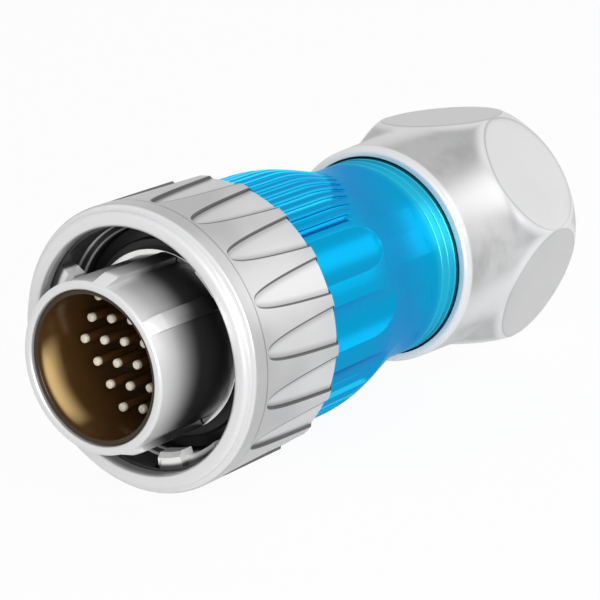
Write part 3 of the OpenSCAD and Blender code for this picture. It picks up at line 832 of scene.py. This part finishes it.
class CONNECTOR_OT_shell(bpy.types.Operator):
    """Build the barrel with its keys, its clip and its face seal"""
    bl_idname = "connector.shell"
    bl_label = "Barrel"

    # Angles in degrees from the top, and stations, lengths and radii in millimetres
    key_angles = (15.0, 60.0, 160.0, 225.0, 300.0)
    key_span = (0.4, 11.85)
    key_nose = 1.8
    key_margin = 0.6
    groove_depth = 0.4
    flange_radius, flange_len = 12.92, 1.6
    sleeve_radius, sleeve_end = 11.4, 26.0
    spigot_radius = 10.9
    rear_bore, rear_bore_x = 9.2, 17.5

    def rows(self, s):
        """[station, radius, share of the keys' height] along the barrel's outside."""
        r = s.barrel_radius
        bore, groove_r = r - s.barrel_wall, r - self.groove_depth
        flange_end = FLANGE_X + self.flange_len
        rim = rounded([(3.0, bore, 0.0), (0.0, bore, 0.38), (0.0, r, 0.38), (3.0, r, 0.0)], 7)
        start, end = self.key_span
        nose = start + self.key_nose
        keys = [(start - 0.02, 0.0), (start + 0.05, 0.1), (start + self.key_nose * 0.85, 0.88),
                (nose, 0.96), (nose + 0.25, 1.0)]
        keys += [(x, 1.0) for x in np.linspace(start + 2.6, end - 0.2, 8)]
        keys += [(end - 0.03, 0.95), (end, 0.85), (end, 0.0)]
        rest = rounded([(end, r, 0.0), (CLIP_X, r, 0.0), (CLIP_X, groove_r, 0.0),
                        (SEAL_X, groove_r, 0.0), (SEAL_X, r, 0.0), (FLANGE_X, r, 0.0),
                        (FLANGE_X, self.flange_radius, 0.2), (flange_end, self.flange_radius, 0.2),
                        (flange_end, self.sleeve_radius, 0.0),
                        (self.sleeve_end, self.sleeve_radius, 0.1),
                        (self.sleeve_end, self.spigot_radius, 0.0),
                        (SHELL_END, self.spigot_radius, 0.3), (SHELL_END, self.rear_bore, 0.0),
                        (self.rear_bore_x + 1.5, self.rear_bore, 0.0),
                        (self.rear_bore_x, self.rear_bore, 0.0), (self.rear_bore_x, bore, 0.0)], 3)
        return ([(x, q, 0.0) for x, q in rim[1:-1]] + [(x, r, share) for x, share in keys]
                + [(x, q, 0.0) for x, q in rest[1:]])

    def columns(self, s):
        """Angles of the lattice's columns with each one's share of a key's height."""
        half = math.degrees(math.asin(s.key_width / 2 / (s.barrel_radius + s.key_height / 2)))
        steps = mirrored([(-half - self.key_margin, 0.0), (-half - 0.12, 0.0), (-half, 0.12),
                          (-half + 0.1, 0.85), (-half + 0.35, 0.97), (-half + 1.05, 1.0),
                          (0.0, 1.0)])
        found = []
        for at, after in zip(self.key_angles, (*self.key_angles[1:], self.key_angles[0] + 360.0)):
            found += [(at + a, share) for a, share in steps]
            start, stop = at + half + self.key_margin, after - half - self.key_margin
            count = max(2, round((stop - start) / 2.5))
            found += [(start + (stop - start) * k / count, 0.0) for k in range(1, count)]
        return np.array(found)

    def execute(self, context):
        s = context.scene.connector_shell
        rows, columns = self.rows(s), self.columns(s)
        points = [on_axis(x, radius + s.key_height * keyed * columns[:, 1], columns[:, 0])
                  for x, radius, keyed in rows]
        faces = lattice_faces(len(rows), len(columns))
        piece = add_object("barrel_look", points, faces, 38.0)
        settle(piece, BODY, "shell_chrome", plated_finish(s.colour), "front_shell")
        dress_copy("seal_clip", 0.12, BODY, "clip_steel",
                   metal_finish("clip bright steel", (0.8, 0.8, 0.79), 0.2))
        seal = turned_object("face_seal_look", [
            (SEAL_X, s.barrel_radius, 0.1), (SEAL_X, SEAL_R, 0.25), (FLANGE_X, SEAL_R, 0.1),
            (FLANGE_X, s.barrel_radius, 0.0)])
        settle(seal, BODY, "seal_rubber", rubber_finish("face seal rubber"), "face_seal")
        return {"FINISHED"}


class CONNECTOR_OT_contacts(bpy.types.Operator):
    """Build the lining, the insert's face and the contacts"""
    bl_idname = "connector.contacts"
    bl_label = "Insert and contacts"

    # Count of the contacts, and gaps, steps, radii and depths in millimetres
    count = 24
    liner_gap, liner_wall = 0.05, 0.55
    insert_step, insert_rear = 1.5, 9.15
    collar_setback, collar_radius = 1.5, 0.85
    cup_bore, cup_depth = 0.55, 3.0

    def execute(self, context):
        s = context.scene.connector_shell
        bore = s.barrel_radius - s.barrel_wall - self.liner_gap
        inner = bore - self.liner_wall
        liner = turned_object("liner_look", [
            (LINER_X, bore, 0.1), (LINER_X, inner, 0.2), (LINER_END, inner, 0.0),
            (LINER_END, bore, 0.0)])
        settle(liner, BODY, "liner_bronze", bronze_lining((0.10, 0.047, 0.014)), "barrel_liner")
        step_x = INSERT_END - self.insert_step
        insert = turned_object("insert_look", [
            (DISC_X, bore, 0.1), (DISC_X, 0.0, 0.0), (INSERT_END, 0.0, 0.0),
            (INSERT_END, self.insert_rear, 0.1), (step_x, self.insert_rear, 0.1),
            (step_x, bore, 0.0)])
        settle(insert, BODY, "insert_plastic",
               moulded_finish("disc moulding", (0.035, 0.018, 0.008), 0.25, 0.3), "front_insert")

        names = ["pin_%02d" % (i + 1) for i in range(self.count)]
        places = []
        for name in names:
            low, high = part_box(name)
            places.append((0.0, (low.y + high.y) / 2, (low.z + high.z) / 2))
        mesh = bpy.data.meshes.new("contact_places")
        mesh.from_pydata(places, [], [])
        pins = link_object("contacts_look", mesh)
        collar_x, cup_x = DISC_X + self.collar_setback, CUP_END - self.cup_depth
        one = turned_object("contact_source", [
            (TIP_X, 0.0, 0.0), (TIP_X, s.pin_radius, 0.22), (collar_x, s.pin_radius, 0.0),
            (collar_x, self.collar_radius, 0.05), (CUP_END, self.collar_radius, 0.05),
            (CUP_END, self.cup_bore, 0.0), (cup_x, self.cup_bore, 0.0), (cup_x, 0.0, 0.0)], 20)
        run_tree(pins, contact_tree(), {"Contact": one, "Material": contact_finish()}, 40.0)
        bpy.data.objects.remove(one)
        settle(pins, BODY, "contact_metal", None, *names)
        return {"FINISHED"}


class CONNECTOR_OT_grip(bpy.types.Operator):
    """Build the blue grip with its fine grooves, finger scoops and trim grooves"""
    bl_idname = "connector.grip"
    bl_label = "Grip"

    # Lengths and radii in millimetres, and angles in degrees from the top
    straight = 11.0
    taper = 16.0
    flare = 0.15
    zones = (5.0, 185.0)
    scoops = (65.0, 95.0, 125.0, 245.0, 275.0, 305.0)
    scoop_half = 10.3
    trim_pitch = 1.3
    trim_depth = 0.16
    spigot_radius = 11.4

    # [place, share of the depth] across a trim groove
    trim = ((0.08, 0.0), (0.12, 0.2), (0.17, 0.8), (0.25, 1.0), (0.33, 0.8), (0.38, 0.2),
            (0.42, 0.0))
    # [from its end, share of the depth] where a fine groove runs out
    run_out = ((0.85, 0.94), (0.6, 0.75), (0.35, 0.42), (0.12, 0.12), (-0.08, 0.0))
    # [station, radius] along the bore behind its mouth, from the rear
    bore = ((57.9, 10.0), (57.9, 8.75), (53.9, 8.75), (52.4, 10.0), (33.3, 10.0), (33.3, 10.95),
            (26.0, 10.95), (26.0, GRIP_MOUTH_R))

    def body_radius(self, s, x):
        """Radius of the grip before its grooves and scoops are cut."""
        waist_x = GRIP_X + self.straight + self.taper
        t = np.clip((x - GRIP_X - self.straight) / self.taper, 0, 1)
        curve = GRIP_R - (GRIP_R - s.waist_radius) * (1 - np.cos(np.pi * t)) / 2
        return curve + np.clip((x - waist_x) / (SHOULDER_X - waist_x), 0, 1) * self.flare

    def columns(self, s):
        """[kind, place, offset, depth] of the columns round the grip."""
        half = s.groove_angle / 2
        groove = mirrored([(-half - 0.28, 0.0), (-half - 0.08, 0.06), (-half + 0.06, 0.30),
                           (-half + 0.12, 0.85), (-half + 0.35, 1.0), (0.0, 1.0)])
        side = (s.groove_count - 1) // 2
        cols = []
        for zone in self.zones:
            for k in range(-side, side + 1):
                at = zone + k * s.groove_pitch
                cols += [("groove", zone, at + a, d) for a, d in groove]
                if k < side:
                    cols.append(("land", zone, at + s.groove_pitch / 2, 0.0))
        for at in self.scoops:
            cols += [("beside", at, u, 0.0) for u in (-1.0, -0.7, 0.7, 1.0)]
            cols += [("scoop", at, u, 0.0) for u in (
                -1.0, -0.93, -0.8, -0.6, -0.4, -0.2, 0.0, 0.2, 0.4, 0.6, 0.8, 0.93, 1.0)]
        return sorted(cols, key=lambda c: self.rest_angle(c) % 360.0)

    def rest_angle(self, col):
        """Angle of a column far from a scoop's end."""
        kind, place, value, _ = col
        if kind == "scoop":
            return place + value * self.scoop_half
        if kind == "beside":
            return place + math.copysign(self.scoop_half + 0.5 + (abs(value) - 0.7) * 12.0, value)
        return value

    def scoop_edge(self, s, x, r):
        """Half the angle that a scoop spans at a station, and its cutter's radius there."""
        centre = GRIP_R - s.scoop_depth + s.scoop_radius
        past = max(0.0, x - GRIP_X - s.scoop_length)
        cut = math.sqrt(max(0.0, s.scoop_radius ** 2 - past ** 2))
        if cut <= 0 or centre - cut >= r:
            return 0.0, cut, centre
        cosine = (centre ** 2 + r ** 2 - cut ** 2) / (2 * centre * r)
        return math.degrees(math.acos(min(1.0, cosine))), cut, centre

    def row(self, s, cols, station, depth_share=0.0, scooped=True):
        """Points of one row round the grip, at a station or at one that follows the angle."""
        points = []
        for col in cols:
            kind, place, value, depth = col
            angle = self.rest_angle(col)
            x = station(angle) if callable(station) else station
            r = float(self.body_radius(s, x))
            if kind in ("groove", "land"):
                r -= s.groove_depth * depth * depth_share
            elif scooped:
                edge, cut, centre = self.scoop_edge(s, x, r)
                if kind == "scoop":
                    angle = place + value * edge
                    if edge > 0:
                        away = math.radians(value * edge)
                        r = min(r, centre * math.cos(away) - math.sqrt(
                            max(0.0, cut ** 2 - (centre * math.sin(away)) ** 2)))
                elif abs(value) < 0.9:
                    angle = place + math.copysign(edge + 0.5, value)
            points.append((x, r, angle))
        return on_axis(*np.array(points).T)

    def execute(self, context):
        s = context.scene.connector_grip
        cols = self.columns(s)
        side = (s.groove_count - 1) // 2 * s.groove_pitch
        waist_x = GRIP_X + self.straight + self.taper

        def groove_end(angle):
            """Station where a groove ends at an angle."""
            away = min(abs((angle - z + 180.0) % 360.0 - 180.0) for z in self.zones)
            return GRIP_X + s.groove_length - s.groove_fade * min(1.0, away / side) ** 2

        rows = []
        for x, r in rounded([(GRIP_X, GRIP_MOUTH_R, 0.0), (GRIP_X, GRIP_R, 0.4),
                             (GRIP_X + 3, GRIP_R, 0.0)], 4)[1:-1]:
            shape = raised(self.row(s, cols, GRIP_X + 0.5, 1.0), r - GRIP_R)
            shape[:, 0] = x
            rows.append(shape)
        for v in np.linspace(0.04, 0.92, 46):
            rows.append(self.row(s, cols, lambda a: GRIP_X + (groove_end(a) - GRIP_X) * v, 1.0))
        for back, share in self.run_out:
            rows.append(self.row(s, cols, lambda a: groove_end(a) - back, share))
        for v in np.linspace(0.03, 1.0, 40):
            rows.append(self.row(s, cols, lambda a: groove_end(a) + 0.08
                                 + (waist_x - groove_end(a) - 0.08) * v))
        for x in np.linspace(waist_x + 0.5, SHOULDER_X - 4.8, 4):
            rows.append(self.row(s, cols, x, scooped=False))
        for k in (3, 2, 1):
            at = SHOULDER_X - 0.4 - k * self.trim_pitch
            rows += [raised(self.row(s, cols, at + x, scooped=False), -self.trim_depth * depth)
                     for x, depth in self.trim]
        angles = np.array([self.rest_angle(c) for c in cols])
        rear_r, spigot_r, bore_r = s.waist_radius + self.flare, self.spigot_radius, self.bore[0][1]
        rest = rounded([(SHOULDER_X - 0.3, rear_r, 0.0), (SHOULDER_X, rear_r, 0.35),
                        (SHOULDER_X, spigot_r, 0.0), (REAR_SPIGOT_END, spigot_r, 0.4),
                        (REAR_SPIGOT_END, bore_r, 0.1), *((x, r, 0.0) for x, r in self.bore),
                        (GRIP_X, GRIP_MOUTH_R, 0.15)], 4)
        rows += [on_axis(x, r, angles) for x, r in rest[1:]]
        faces = lattice_faces(len(rows), len(cols))
        piece = add_object("grip_look", rows, faces, 34.0)
        settle(piece, BODY, "grip_paint", blue_finish(s, self.zones), "grip_body")
        return {"FINISHED"}


class CONNECTOR_OT_nut(bpy.types.Operator):
    """Build the domed hexagon nut: one sector with its flat, turned and joined"""
    bl_idname = "connector.nut"
    bl_label = "Cable nut"

    # Lengths, radii and stations in millimetres, and the counts of sides and steps
    dome_setback = 16.9
    front_arc = 9.2
    rear_arc = 13.9
    collar_flare = 0.6
    blend = 0.3
    end_round = 0.8
    sides = 6
    steps = 8
    recess_depth, recess_radius, seat_radius = 1.1, 12.38, 11.48
    bore_span, bore_radius = (66.4, 76.5), 10.38
    # Rows with a smaller radius than this are inside and have no flat
    inside_radius = 12.5
    # Degrees from a flat's edge to the columns beside it
    around = (2.4, 1.2, 0.5, 0.0, -0.5, -1.2, -2.4)

    def profile(self, s, x):
        """Radius of the turned blank at a station."""
        dome_x = NUT_X + self.dome_setback
        size = self.front_arc if x < dome_x else self.rear_arc
        dome = s.dome_radius - size + math.sqrt(max(0.0, size ** 2 - (x - dome_x) ** 2))
        if x > dome_x:
            return dome
        collar = s.collar_radius + self.collar_flare * (x - NUT_X) / self.dome_setback
        return (collar + dome + math.sqrt((collar - dome) ** 2 + self.blend)) / 2

    def blank(self, s):
        """[station, radius] of the turned blank, from the recess to the outlet."""
        recess_x, recess_r, seat_r = NUT_X + self.recess_depth, self.recess_radius, self.seat_radius
        bore_x, bore_end = self.bore_span
        last = NUT_END - self.end_round
        nose = rounded([(recess_x, recess_r, 0.0), (NUT_X, recess_r, 0.12),
                        (NUT_X, s.collar_radius, 0.8),
                        (NUT_X + 2.0, s.collar_radius + 0.04, 0.0)], 6)
        tail = rounded([(last - 1.0, self.profile(s, last - 1.0), 0.0),
                        (NUT_END, self.profile(s, last) - self.end_round, 0.5),
                        (NUT_END, s.outlet_radius, 0.3), (bore_end, s.outlet_radius, 0.0),
                        (bore_end, self.bore_radius, 0.0), (bore_x, self.bore_radius, 0.0),
                        (bore_x, seat_r, 0.0), (recess_x, seat_r, 0.1), (recess_x, recess_r, 0.0)],
                       5)
        dome = [(x, self.profile(s, x)) for x in np.linspace(NUT_X + 1.0, last, 104)]
        return [*nose[1:-1], *dome, *tail[1:]]

    def row(self, s, x, radius):
        """Row of one sector, from corner to corner, with the flat cut across its middle."""
        flat, corner, steps = s.flats / 2, 180.0 / self.sides, self.steps
        edge = min(corner, math.degrees(math.acos(min(1.0, flat / radius))))
        beside = [min(corner, max(0.0, edge + a)) for a in self.around]
        right = [corner + (beside[0] - corner) * j / steps for j in range(steps)] + beside
        right += [beside[-1] * (1 - j / steps) for j in range(1, steps)]
        angles = np.array([-a for a in right] + [0.0] + right[::-1])
        if radius <= self.inside_radius:
            return on_axis(x, radius, angles)
        plane, soft = flat / np.cos(np.radians(angles)), s.edge_round
        gap = np.clip(0.5 + 0.5 * (plane - radius) / soft, 0, 1)
        return on_axis(x, plane + (radius - plane) * gap - soft * gap * (1 - gap), angles)

    def execute(self, context):
        s = context.scene.connector_nut
        rows = [self.row(s, x, radius) for x, radius in self.blank(s)]
        piece = sectors_object("cable_nut_look", rows, self.sides, 34.0, nut_finish(s))
        settle(piece, NUT_BODY, "nut_metal", None, "cable_nut")
        return {"FINISHED"}


class CONNECTOR_OT_clamp(bpy.types.Operator):
    """Dress the cable clamp and the pieces that lie inside"""
    bl_idname = "connector.clamp"
    bl_label = "Clamp and inner pieces"

    seal_radius, seal_mouth, seal_bore = 8.2, 6.5, 6.0

    def execute(self, context):
        brass = metal_finish("inner brass", (0.66, 0.50, 0.22), 0.25)
        steel = metal_finish("spring steel", (0.55, 0.55, 0.55), 0.3)
        rubber = rubber_finish("seal rubber")
        pale = moulded_finish("collet moulding", (0.74, 0.74, 0.71), 0.45, 0.0)
        dark = moulded_finish("insert moulding", (0.05, 0.028, 0.012), 0.3, 0.3)
        dress_copy("slip_ring", 0.1, SLIP_BODY, "inner_brass", brass)
        low, high = span("cable_seal")
        seal = turned_object("cable_seal_look", [
            (low, self.seal_mouth, 0.2), (low, self.seal_radius, 0.15),
            (high, self.seal_radius, 0.3), (high, self.seal_mouth, 0.3),
            (high - 0.5, self.seal_bore, 0.3), (low + 0.5, self.seal_bore, 0.3)], 96)
        settle(seal, BODY, "seal_rubber", rubber, "cable_seal")
        dress_copy("cable_collet", 0.1, BODY, "collet_plastic", pale)
        for node, material in (("rear_insert", dark), ("insert_nut", brass),
                               ("body_seal", rubber), ("spring_seat", steel),
                               ("return_spring", steel)):
            paint_node(node, material)
        return {"FINISHED"}


class CONNECTOR_OT_stage(bpy.types.Operator):
    """Build the pale floor, the soft lamps, the sky and the camera"""
    bl_idname = "connector.stage"
    bl_label = "Stage"

    # The camera's place in degrees and millimetres, and its lens
    elevation, bearing, roll = 17.74, 36.85, 7.9
    distance = 266.858
    aside = (22.363, 7.400)
    lens, sensor = 150.0, 36.0
    floor_half = 600.0

    # Place and size of each lamp in metres, and its share of the key lamp's power
    lamps = {"key lamp": ((-0.21, -0.37, 0.10), 0.3, 1.0),
             "far lamp": ((0.38, -0.26, 0.135), 0.24, 0.1)}
    lamp_target = (0.04, 0.0, 0.0)

    def camera_axes(self):
        """Right, up and back of the camera, rolled about the plug's axis."""
        e, b, c = (math.radians(a) for a in (self.elevation, self.bearing, self.roll))
        back = Vector((-math.cos(e) * math.cos(b), -math.cos(e) * math.sin(b), math.sin(e)))
        right = Vector((math.sin(b), -math.cos(b), 0.0))
        turn = Matrix.Rotation(c, 3, "X")
        back, right = turn @ back, turn @ right
        return right, back.cross(right), back

    def show_white(self, tree, kind, share):
        """Mixes a share of white over a tree's shader for camera, mirrored and transmitted rays."""
        seen = 0.0
        for label in ("Is Camera Ray", "Is Glossy Ray", "Is Transmission Ray"):
            ray = add_node(tree, "ShaderNodeLightPath", {}, {}, label)
            seen = add_node(tree, "ShaderNodeMath", {"operation": "MAXIMUM"}, {0: seen, 1: ray})
        seen = add_node(tree, "ShaderNodeMath", {"operation": "MULTIPLY"}, {0: seen, 1: share})
        white = add_node(tree, kind, {}, {"Color": WHITE, "Strength": 1.0})
        last = next(link for link in tree.links
                    if link.to_node.bl_idname.startswith("ShaderNodeOutput"))
        mixed = add_node(tree, "ShaderNodeMixShader", {}, {
            0: seen, 1: last.from_socket, 2: white})
        tree.links.new(mixed, last.to_socket)

    def execute(self, context):
        s = context.scene.connector_stage
        scene = context.scene
        right, up, back = self.camera_axes()
        data = bpy.data.cameras.new("view")
        data.lens, data.sensor_width = self.lens, self.sensor
        data.clip_start, data.clip_end = 0.01, 10.0
        camera = link_object("view", data)
        place = (right * self.aside[0] + up * self.aside[1] + back * self.distance) * MM
        axes = Matrix((right, up, back)).transposed()
        camera.matrix_world = Matrix.Translation(place) @ axes.to_4x4()
        scene.camera = camera
        scene.view_settings.view_transform = "Standard"

        # The plug stands on the ring's rear edge and on the nut
        nut = bpy.data.objects["cable_nut_look"].data.vertices
        slope = min((v.co.z / MM + RING_R) / (v.co.x / MM - RING_END) for v in nut)
        points = [(x + RING_END, y, -RING_R + slope * x)
                  for x in (-self.floor_half, self.floor_half)
                  for y in (-self.floor_half, self.floor_half)]
        floor = add_object("floor", points, [(0, 2, 3, 1)])
        pale = Finish("floor pale", (0.96, 0.96, 0.96), 0.9)
        self.show_white(pale.tree, "ShaderNodeEmission", s.floor_white)
        floor.data.materials.append(pale.material)

        scene.world = bpy.data.worlds.new("studio")
        scene.world.use_nodes = True
        sky = scene.world.node_tree.nodes["Background"].inputs
        sky["Color"].default_value, sky["Strength"].default_value = WHITE, s.sky
        self.show_white(scene.world.node_tree, "ShaderNodeBackground", 1.0)

        for name, (place, size, share) in self.lamps.items():
            data = bpy.data.lights.new(name, "AREA")
            data.shape, data.size, data.energy = "SQUARE", size, s.lamp_power * share
            lamp = link_object(name, data)
            lamp.location = place
            away = Vector(place) - Vector(self.lamp_target)
            lamp.rotation_euler = away.to_track_quat("Z", "Y").to_euler()
        return {"FINISHED"}


# ---- Panel and registration

STEPS = (CONNECTOR_OT_ring, CONNECTOR_OT_lock, CONNECTOR_OT_shell, CONNECTOR_OT_contacts,
         CONNECTOR_OT_grip, CONNECTOR_OT_nut, CONNECTOR_OT_clamp, CONNECTOR_OT_stage)
GROUPS = {"connector_ring": RingSizes, "connector_grip": GripSizes, "connector_nut": NutSizes,
          "connector_shell": ShellSizes, "connector_stage": StageSizes}


class CONNECTOR_PT_pieces(bpy.types.Panel):
    """Lists the connector's pieces and their sizes"""
    bl_label = "Connector"
    bl_idname = "CONNECTOR_PT_pieces"
    bl_space_type = "VIEW_3D"
    bl_region_type = "UI"
    bl_category = "Connector"

    def draw(self, context):
        for step in STEPS:
            self.layout.operator(step.bl_idname)
        for group, kind in GROUPS.items():
            box = self.layout.box()
            for name in kind.__annotations__:
                box.prop(getattr(context.scene, group), name)


def register():
    for kind in (*GROUPS.values(), *STEPS, CONNECTOR_PT_pieces):
        bpy.utils.register_class(kind)
    for group, kind in GROUPS.items():
        setattr(bpy.types.Scene, group, PointerProperty(type=kind))


def unregister():
    for group in GROUPS:
        delattr(bpy.types.Scene, group)
    for kind in (CONNECTOR_PT_pieces, *reversed(STEPS), *reversed(GROUPS.values())):
        bpy.utils.unregister_class(kind)


def main():
    register()
    for step in STEPS:
        area, name = step.bl_idname.split(".")
        getattr(getattr(bpy.ops, area), name)()


if __name__ == "__main__":
    main()
